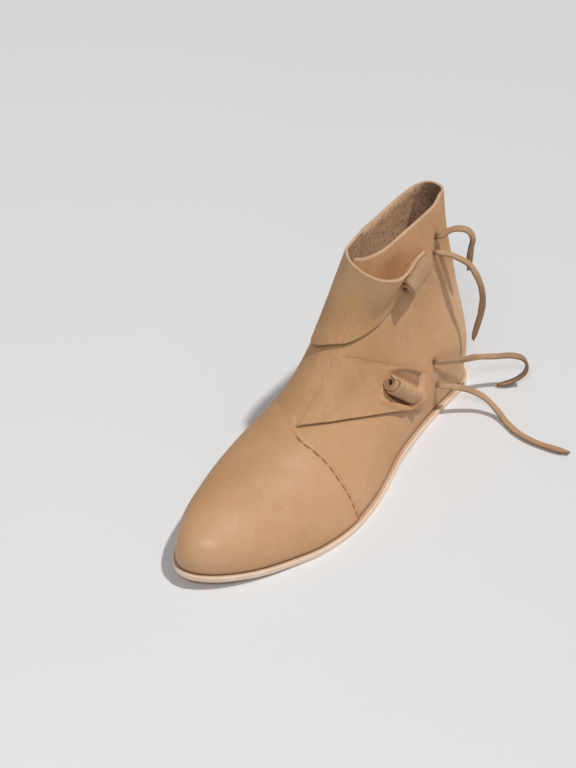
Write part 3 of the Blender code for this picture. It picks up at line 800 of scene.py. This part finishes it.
def make_instep_flap():
    """The flap opens in an eye round its roll and arches over the roll's rear end."""
    edges = (table_curve(table) for table in (INSTEP_LOW, INSTEP_HIGH))
    turn, up, a, tall = flap_grid(INSTEP_GRID, INSTEP_MARGIN, *edges)
    sink = ramp(turn, 0.935 - 0.12 * a, 0.03 + 0.12 * a)

    # Distance past the roll's rear end along its line, and above that line
    front, rear = toggle_ends("instep_toggle", (0, 0))
    axis = unit(rear - front)
    side = np.cross(unit(toggle_ends("instep_toggle", (1, 1))[0] - front), axis)
    side *= np.sign(side[2])
    reach = (upper_point(turn, up) - rear) / MM
    past, above = reach @ axis, reach @ side
    gap, below = np.abs(above), above < 0

    # The eye, the hollow above it, the strap's arch and the lips round the eye
    lens = np.sqrt(np.clip(1 - ((past + EYE_MIDDLE) / EYE_HALF) ** 2, 0, 1))
    covered = ramp(past, -STRAP_COVER, 2)
    near = ramp(lens, 0, 0.5) * (1 - covered)
    eye = near * ramp(np.where(below, EYE_LOW, EYE_HIGH) * lens - gap, 0, 0.8)
    hollow = ramp(past, -40, 9) * (1 - covered) * ramp(above, 5, 3)
    slope = 1.8 + 5.0 * ramp(above, 2, 6)
    arch = STRAP_HEIGHT * ramp(past, -STRAP_COVER, slope) * np.exp(-(gap / STRAP_WIDTH) ** STRAP_POWER)
    arch = arch * (1 - ramp(past, -1, STRAP_PAST + 1))
    lip = np.where(below, 1.1 * bell(gap - 11.6, 2.4), 0.4 * bell(gap - 9.2, 1.6))
    out = INSTEP_REST + 1.3 * bell(gap, 15) * bell(past + 18, 30) - 2.4 * eye + arch
    out += near * lip + hollow * 2.4 * ramp(a, 0.78, 0.22) ** 2
    out += 0.3 * ramp(a, 0.22, -0.22) * bell(past + 12, 16)
    grid = off_upper(turn, up, out * (1 - sink) - INSTEP_SINK * sink)
    normal = sheet_normal(grid)
    inner = shifted(grid, normal, -FLAP_THICK)
    outer = shifted(grid, normal, edge_bevel(*up.shape) - FLAP_THICK)
    # Painted shade in the eye round the roll, darkest below it, and in the hollow above it; a little darker
    # along the high edge
    dark = np.where(below, 0.85, 0.25) * eye + 0.45 * hollow * (1 - ramp(a, 0.9, 0.06))
    dark += 0.2 * bell((1 - a) * tall, 0.8) * (1 - sink)
    wrinkle = 0.6 + 0.35 * bell(turn - 0.8, 0.2)
    pale = 0.25 * bell(a * tall, 0.5) * (1 - sink)
    add_sheet("instep_flap", inner, outer, grain_uv(turn, up), shading(dark, wrinkle, pale))


def make_ankle_flap():
    """The flap lies on the quarter at its low edge, and its top edge swings out to the rim."""
    edges = (table_curve(ANKLE_EDGES, k) for k in (1, 2))
    turn, up, a, tall = flap_grid(ANKLE_GRID, ANKLE_MARGIN, *edges)
    sink = ramp(turn, 1.12, 0.14)
    rest = -RECESS * (1 - ramp(turn, QUARTER_FADE_FROM, QUARTER_FADE)) + ANKLE_REST
    under = FLAP_THICK + ANKLE_SINK + 0.4 * bell(turn - 1.3, 0.09)
    base = off_upper(turn, up, rest * (1 - sink) - under * sink) + collar_shape(turn, up)
    turns = turn[:, 0]
    rim = place(*(table_curve(ANKLE_RIM, k)(turns) for k in (1, 2, 3)))
    fade = 1 - ramp(turns, RIM_FADE_FROM, RIM_FADE_TO - RIM_FADE_FROM)
    swing = (rim - base[:, -1]) * fade[:, None]
    lag = 1.45 + 1.0 * (1 - ramp(turn, 0.5, 0.12))
    inner = base + swing[:, None, :] * (a ** lag)[..., None]
    outer = shifted(inner, sheet_normal(inner), edge_bevel(*up.shape))
    # Painted shade along the low edge
    dark = 0.3 * bell(a * tall, 0.8) * (1 - sink)
    # The pale top edge is the cut edge's own; the upper half is paler with painted light
    pale = 0.5 * bell((1 - a) * tall, 0.8) + 0.36 * ramp(a, 0.3, 0.5)
    add_sheet("ankle_flap", inner, outer, grain_uv(turn, up), shading(dark, 0.95, pale))


def make_roll(name, seed):
    """A strip rolled round a line; each slice runs along its spiral's outer side, then back inside."""
    _, _, seats, _, radius, start, setback, finish = TOGGLES[name]
    front, rear = toggle_ends(name, seats)
    rng = np.random.default_rng(seed)
    length = size(rear - front)
    axis = unit(rear - front)
    side = unit(np.cross(axis, [0, 0, 1]))
    over = np.cross(side, axis)
    angle = np.linspace(0, 2 * math.pi * ROLL_TURNS, ROLL_SAMPLES)
    share = angle / angle[-1]
    core = radius - ROLL_STRIP * ROLL_TURNS * 1.04
    middle = core + (radius - ROLL_STRIP / 2 - core) * share + 0.5 * ramp(share, 0.94, 0.06)
    wobble = 1 + 0.03 * np.sin(3 * angle + rng.uniform(0, 6)) + 0.02 * np.sin(5 * angle + rng.uniform(0, 6))
    last = ramp(share, 1 - 0.85 / ROLL_TURNS, 0.05)
    slices = []
    for k in np.linspace(0, 1, ROLL_SLICES):
        end = min(k, 1 - k) * length / MM
        pinch = (1 - 0.05 * bell(end, 1)) * (1 - 0.12 * ramp(k, 0.75, 0.12))
        pinch = pinch * (1 + 0.015 * math.sin(9 * k + seed))
        slide = (1 - share + setback * last) * (1 - k) ** 2
        thin = ROLL_STRIP / 2 * (1 - 0.35 * bell(end, 0.35))
        turn = start + (angle - angle[-1]) + 0.08 * math.sin(2.2 * k + seed)
        spoke = np.outer(np.cos(turn), side) + np.outer(np.sin(turn), over)
        centre = front + axis * (k * length) + np.outer(slide, axis) * MM
        outer, inner = (shifted(centre, spoke, (middle * wobble + half) * pinch) for half in (thin, -thin))
        slices.append(np.concatenate([outer, inner[::-1]]))
    count = 2 * ROLL_SAMPLES
    faces = stack_faces(ROLL_SLICES, count)
    on_end = np.arange(len(faces)) >= (ROLL_SLICES - 1) * count
    # Painted shade in the gap beside the strip's free edge; the strip's inner face is darker all along
    before_end = (1 - np.linspace(0, 1, ROLL_SAMPLES)) * ROLL_TURNS * 2 * math.pi
    painted_gap_shade = 0.8 * bell(before_end - 2 * math.pi + 0.12, 0.13)
    dark = np.concatenate([painted_gap_shade, np.full(ROLL_SAMPLES, 0.55)])
    add_piece(name + "_roll", np.array(slices), faces, (finish, CUT_EDGE), on_end,
              shade=shading(np.tile(dark, (ROLL_SLICES, 1))), nodes=(name,))


# Thongs: flat strips on the part's own routes
THONG_WIDTH, THONG_THICK = 4.2, 2.0
THONG_ROOT, THONG_ROOT_BACK = 2.8, 1.6
THONG_STAND_OFF = 2.0
THONG_POINTS = 90
THONGS = {
    # (turn, up) where it leaves the upper, rows of station, across, height along it, then rows of a share of
    # its length and the direction that its broad side looks in there
    "ankle_thong_upper": (
        (0.297, 0.87),
        ((30, 13, 130), (25, 19, 132), (21.5, 23.5, 130), (20, 26, 125), (20, 25.5, 117), (20, 25, 99)),
        ((0, 0.2, -0.5, 0.8), (0.4, 0.5, -0.3, 0.8), (0.6, 0.7, -0.1, 0.5), (1, 0.6, -0.7, 0))),
    "ankle_thong_lower": (
        (0.317, 0.808),
        ((33, 17, 115), (29, 22, 112), (25, 27, 108), (22, 31, 101), (19.5, 35, 91), (18, 37, 79),
         (18.5, 37, 67), (20, 36, 57), (22, 35, 46)),
        ((0, 0.2, -0.3, 0.9), (0.35, 0.3, -0.2, 0.9), (0.6, 0.6, -0.7, 0.3), (1, 0.5, -0.8, 0))),
    "instep_thong_upper": (
        (0.332, 0.292),
        ((47.5, 34, 42.5), (37, 35.3, 37.3), (20, 38, 30.6), (7.5, 45.4, 27.2), (-3.6, 55.4, 25.6),
         (-6.5, 58.8, 24), (-8.4, 61.4, 20.5), (-8.8, 62.6, 15.9), (-7.7, 62, 11.3), (-5.3, 59.9, 7.8),
         (-2.3, 57, 5), (1.3, 53.5, 3), (5.6, 49.4, 2.3)),
        ((0, 0.91, -0.36, -0.2), (0.25, 0.9, -0.36, -0.1), (0.55, 0.3, -0.2, 0.9), (0.75, 0.7, 0.6, 0),
         (0.9, 0, 0, -1), (1, 0, 0, -1))),
    "instep_thong_lower": (
        (0.303, 0.131),
        ((48, 39.5, 23), (39, 48, 18), (33, 57, 11), (32.5, 66, 5), (36, 76, 2.3), (40, 87, 2.3),
         (41, 100, 2.3), (39, 113, 2.3), (36, 124, 2.3)),
        ((0, 0.8, -0.3, 0.5), (0.5, 0.2, -0.2, 0.9), (1, 0.1, 0, 1))),
}
# Across a strip and through it, as shares of its half sizes, half round it and then once round
HALF_SECTION = np.array([(-1, -0.5), (-0.85, -1), (-0.3, -1), (0.3, -1), (0.85, -1), (1, -0.5)])
SECTION = np.concatenate([HALF_SECTION, -HALF_SECTION])


def thong_route(exit_at, rows):
    """Points at even steps along a smooth curve through a tail's own points, in metres."""
    start = off_upper(*exit_at, THONG_STAND_OFF)
    through = np.vstack([start, place(*np.array(rows, float).T)])
    along = arc_lengths(through)
    steps = np.linspace(0, along[-1], THONG_POINTS)
    return np.stack([smooth_curve(along, through[:, k])(steps) for k in range(3)], 1)


def make_thong(name, seed):
    """A flat strip whose broad side looks in the directions given; its end is worn thin and ragged."""
    rng = np.random.default_rng(seed)
    exit_at, rows, looks = THONGS[name]
    route = thong_route(exit_at, rows)
    inwards = upper_normal(*exit_at) * THONG_ROOT + unit(route[1] - route[0]) * THONG_ROOT_BACK
    line = np.vstack([route[0] - inwards * MM, route])
    ahead = unit(np.gradient(line, axis=0))
    share = arc_fractions(line)
    looks = np.array(looks)
    wide = unit(np.cross(ahead, between(share, looks[:, 0], looks[:, 1:])))
    thick = np.cross(wide, ahead)
    total = arc_lengths(route)[-1]
    gone, left = share * total / MM, (1 - share) * total / MM
    width = THONG_WIDTH / 2 * (1 - 0.55 * bell(left, 3)) * (0.6 + 0.4 * ramp(gone, 0, 7))
    width = width * (1 + 0.06 * np.sin(share * 17 + seed) + 0.03 * np.sin(share * 41 + 2 * seed))
    depth = THONG_THICK / 2 * (1 - 0.3 * bell(left, 3)) * (1 + 0.08 * np.sin(share * 23 + seed))
    ragged = np.zeros((len(line), len(SECTION)))
    ragged[-1] = rng.uniform(-0.6, 1.6, len(SECTION))
    ragged[-2] = rng.uniform(-0.4, 0.6, len(SECTION))
    points = shifted(line[:, None], wide[:, None], width[:, None] * SECTION[:, 0])
    points = shifted(points, thick[:, None], depth[:, None] * SECTION[:, 1])
    points = shifted(points, ahead[:, None], ragged)
    # Darker at the ragged end, painted shade where the strip leaves its slit, the flesh side on the hanging
    # part and darker cut sides
    flesh = 0.0 if name == "instep_thong_lower" else 0.26
    dark = 0.25 * bell(left, 2) + 0.5 * bell(gone, 2.5) + flesh * ramp(share, 0.5, 0.12)
    cut_sides = 0.3 * (np.abs(SECTION[:, 0]) == 1)
    piece = add_piece(name + "_strip", points, stack_faces(*ragged.shape), (THONG,),
                      shade=shading(dark[:, None] + cut_sides), nodes=(name,))


# Soles, as stacks of rings whose points are paired across the boot
OUTSOLE_RINGS = np.array([
    # inset from the outline, height over the underside
    (21, 0), (16, 0), (12, 0), (10.8, 0), (9.9, 0), (9, 0), (8.1, 0), (7.2, 0),
    (5, 0), (2.5, 0), (1.1, 0), (0.55, 0.1), (0.18, 0.4), (0, 0.95), (0.05, 2.3),
    (0, 3.7), (0.12, 4.2), (0.45, 4.5), (1, 4.6), (4, 4.6), (12, 4.6), (21, 4.6),
])
EDGE_FIRST, EDGE_LAST = 11, 17
EDGE_WAVE, EDGE_WAVES = 0.06, 20
INSOLE_INSET = SOLE_MARGIN + WALL + 1.6
INSOLE_BEVEL = 0.5
SOLE_POINTS = 260
END_ANGLE = 0.02
NAIL_COUNT, NAIL_INSET, NAIL_RADIUS = 34, 9.0, 1.75
NAIL_SIDES, NAIL_SEED = 18, 5
# Radius, as a share, and height of a nail head's rings
NAIL_PROFILE = np.array([(1, 0.85), (1, 0.15), (0.93, 0.03), (0.72, -0.03), (0.4, -0.05)])


def plan_line(inset, angles):
    """(station, across) once round the sole's plan: to the toe on the lateral side, back on the medial."""
    stations = inset + (SHOE_LENGTH - 2 * inset) * (1 - np.cos(angles)) / 2
    lateral, medial = (np.stack([stations, side * outline(side, stations, inset)], 1) for side in (1, -1))
    return np.concatenate([lateral, medial[::-1]])


def sole_rings(stack):
    """Rings of points from (inset, height) rows."""
    angles = np.linspace(END_ANGLE, math.pi - END_ANGLE, SOLE_POINTS)
    plans = [(plan_line(inset, angles).T, height) for inset, height in stack]
    return np.array([place(station, across, lift(station) + height) for (station, across), height in plans])


def nail_places():
    """(station, across) of each nail, at equal steps along a line inside the sole's edge."""
    line = plan_line(NAIL_INSET, np.linspace(0, math.pi, SAMPLES))
    return between((np.arange(NAIL_COUNT) + 0.5) / NAIL_COUNT, arc_fractions(line), line)


def make_outsole():
    rings = sole_rings(OUTSOLE_RINGS)
    count = rings.shape[1]
    wave = EDGE_WAVE * np.sin(np.linspace(0, 2 * math.pi * EDGE_WAVES, count)) * MM
    rings[EDGE_FIRST:EDGE_LAST + 1, :, 2] += wave
    faces = stack_faces(len(rings), count)
    ring_of = np.arange(len(faces)) // count
    on_edge = (ring_of >= EDGE_FIRST - 1) & (ring_of < EDGE_LAST)
    stations, across = nail_places().T
    heads = place(stations, across, lift(stations))
    gap = size(rings[:, :, None, :2] - heads[:, :2]).min(-1) / MM
    # Darker round the nails, and painted shade on the sole's top where it shows in the gap under the upper
    under = (np.arange(len(rings)) < EDGE_FIRST)[:, None]
    round_nails = 0.6 * bell(np.maximum(gap - NAIL_RADIUS, 0), 0.8)
    dark = np.where(under, round_nails, 0.5 * ramp(OUTSOLE_RINGS[:, :1], 1.2, 1))
    add_piece("boot_outsole", rings, faces, (SOLE_FACE, SOLE_EDGE), on_edge,
              shade=shading(dark), nodes=("outsole",))


def make_insole():
    edge, top, base = INSOLE_INSET, INSOLE_THICK, SOLE_THICK + SEAT_GAP
    stack = ((20, 0), (edge + INSOLE_BEVEL, 0), (edge, INSOLE_BEVEL), (edge, top - INSOLE_BEVEL),
             (edge + INSOLE_BEVEL, top), (12, top), (20, top))
    rings = sole_rings([(inset, base + height) for inset, height in stack])
    add_piece("boot_insole", rings, stack_faces(*rings.shape[:2]), (SUEDE,),
              shade=(0.15, 0, 0), nodes=("insole",))


def make_nails():
    """All nail heads in one mesh: low domes, each a little different."""
    rng = np.random.default_rng(NAIL_SEED)
    angles = np.arange(NAIL_SIDES) * 2 * math.pi / NAIL_SIDES
    quads = stack_faces(len(NAIL_PROFILE), NAIL_SIDES)
    radius, height = NAIL_PROFILE.T[..., None]
    points, faces = [], []
    for station, across in nail_places():
        girth = NAIL_RADIUS * rng.uniform(0.86, 1.04)
        shape = 1 + 0.06 * np.sin(2 * angles + rng.uniform(0, 6))
        shape = shape + 0.03 * np.sin(3 * angles + rng.uniform(0, 6))
        tilt = rng.uniform(-0.03, 0.03, 2)
        faces.append(quads + len(points))
        x, y = (radius * girth * shape * wave(angles) for wave in (np.cos, np.sin))
        head = place(station + x, across + y, lift(station) + height + tilt[0] * x + tilt[1] * y)
        points.extend(head.reshape(-1, 3))
    add_piece("sole_nails", points, np.concatenate(faces), (IRON,),
              nodes=tuple(f"nail_{number:02d}" for number in range(1, NAIL_COUNT + 1)))


# Stitches along the vamp's edge
STITCH_PITCH, STITCH_LENGTH, STITCH_WIDTH, STITCH_HIGH = 7.0, 5.2, 1.05, 0.38
STITCH_FROM, STITCH_TO, STITCH_START = 0.012, 0.498, 0.6
STITCH_SINK, STITCH_SLIP, STITCH_SEED = 0.15, 0.2, 11
STITCH_RINGS, STITCH_SIDES = 7, 8


def capsule(start, end, normal):
    """Points of a small rounded bar between two points, bowed a little off the surface."""
    k = np.linspace(-1, 1, STITCH_RINGS)[:, None]
    plump = np.sqrt(np.maximum(1 - k ** 4, 0.06)) * MM
    centre = (start + end) / 2 + (end - start) * k / 2 + normal * STITCH_HIGH * 0.35 * (1 - k * k) * MM
    angle = np.arange(STITCH_SIDES) * 2 * math.pi / STITCH_SIDES
    wide = (np.cos(angle) * STITCH_WIDTH / 2 * plump)[..., None] * np.cross(normal, unit(end - start))
    high = (np.sin(angle) * STITCH_HIGH * plump)[..., None] * normal
    return (centre[:, None] + wide + high).reshape(-1, 3)


def make_stitches():
    rng = np.random.default_rng(STITCH_SEED)
    ups = np.linspace(STITCH_FROM, STITCH_TO, 300)
    by_edge = slice(QUARTER_COLUMNS, QUARTER_COLUMNS + len(EDGE_STEPS))
    columns = [upper_columns(up) for up in ups]
    turns = np.array([np.interp(stitch_inset(up), behind[by_edge], turn[by_edge])
                      for up, (turn, behind) in zip(ups, columns)])
    line, normals = off_upper(turns, ups, -STITCH_SINK), upper_normal(turns, ups)
    along = arc_lengths(line) / MM
    quads = stack_faces(STITCH_RINGS, STITCH_SIDES)
    points, faces = [], []
    for first in np.arange(STITCH_START, along[-1] - STITCH_LENGTH, STITCH_PITCH):
        marks = np.array([first, first + STITCH_LENGTH]) + rng.uniform(-STITCH_SLIP, STITCH_SLIP, 2)
        start, end = between(marks, along, line)
        faces.append(quads + len(points))
        points.extend(capsule(start, end, between(marks.mean(), along, normals)))
    add_piece("side_seam_stitches", points, np.concatenate(faces), (THREAD,))


# The photograph's camera, a sun from over the heel, a soft light from the front and an even sky
FLOOR_HALF = 2.5
FLOOR_LOW, FLOOR_HIGH = (0.728, 0.746, 0.766), (0.757, 0.774, 0.792)
AZIMUTH, ELEVATION = math.radians(38.84), math.radians(40)
FOCAL_PIXELS, FRAME_PIXELS, SENSOR = 1500.0, 768.0, 36.0
TARGET = np.array([-38.3 - MIDDLE_X, 9.6, 40]) * MM
DISTANCE = 0.9999
KEY_FROM, KEY_STRENGTH, KEY_ANGLE = Vector((0.318, 0.272, 0.909)), 2.05, 0.05
KEY_COLOUR, SKY_COLOUR = (1, 0.975, 0.94), (1, 0.97, 0.97, 1)
FILL_STRENGTH = 0.235
FRONT_FROM, FRONT_AWAY, FRONT_WATTS, FRONT_SIZE = Vector((0.26, -0.49, 0.83)), 1.6, 5.8, 0.34


def make_floor():
    half = FLOOR_HALF
    mesh = bpy.data.meshes.new("floor")
    corners = [(-half, -half, 0), (half, -half, 0), (half, half, 0), (-half, half, 0)]
    mesh.from_pydata(corners, [], [(0, 1, 2, 3)])
    mesh.materials.append(floor_material("floor_paper", FLOOR_LOW, FLOOR_HIGH))
    floor = add_object("floor", mesh)


def make_camera():
    back = Vector((math.sin(AZIMUTH) * math.cos(ELEVATION), -math.cos(AZIMUTH) * math.cos(ELEVATION),
                   math.sin(ELEVATION)))
    right = (-back).cross(Vector((0, 0, 1))).normalized()
    turn = Matrix((right, right.cross(-back), back)).transposed()
    data = bpy.data.cameras.new("camera")
    data.sensor_width = SENSOR
    data.lens = SENSOR * FOCAL_PIXELS / FRAME_PIXELS
    camera = add_object("camera", data)
    camera.matrix_world = Matrix.Translation(Vector(TARGET) + back * DISTANCE) @ turn.to_4x4()
    bpy.context.scene.camera = camera


def add_light(name, kind, energy, toward):
    data = bpy.data.lights.new(name, kind)
    data.energy = energy
    light = add_object(name, data)
    light.rotation_euler = toward.to_track_quat("Z", "Y").to_euler()
    return light


def make_lights():
    front = add_light("front", "AREA", FRONT_WATTS, FRONT_FROM)
    front.data.size = FRONT_SIZE
    front.location = Vector(TOE_SHINE) + FRONT_FROM * FRONT_AWAY
    key = add_light("key", "SUN", KEY_STRENGTH, KEY_FROM)
    key.data.angle = KEY_ANGLE
    key.data.color = KEY_COLOUR
    world = bpy.data.worlds.new("studio")
    world.use_nodes = True
    sky = world.node_tree.nodes["Background"]
    sky.inputs["Color"].default_value = SKY_COLOUR
    sky.inputs["Strength"].default_value = FILL_STRENGTH
    bpy.context.scene.world = world
    bpy.context.scene.view_settings.view_transform = "Standard"


make_camera()
make_lights()
make_floor()
for number, tail in enumerate(THONGS):
    make_thong(tail, number + 1)
make_outsole()
make_insole()
make_nails()
make_upper()
make_instep_flap()
make_ankle_flap()
for number, toggle in enumerate(TOGGLES):
    make_roll(toggle, number + 1)
make_stitches()
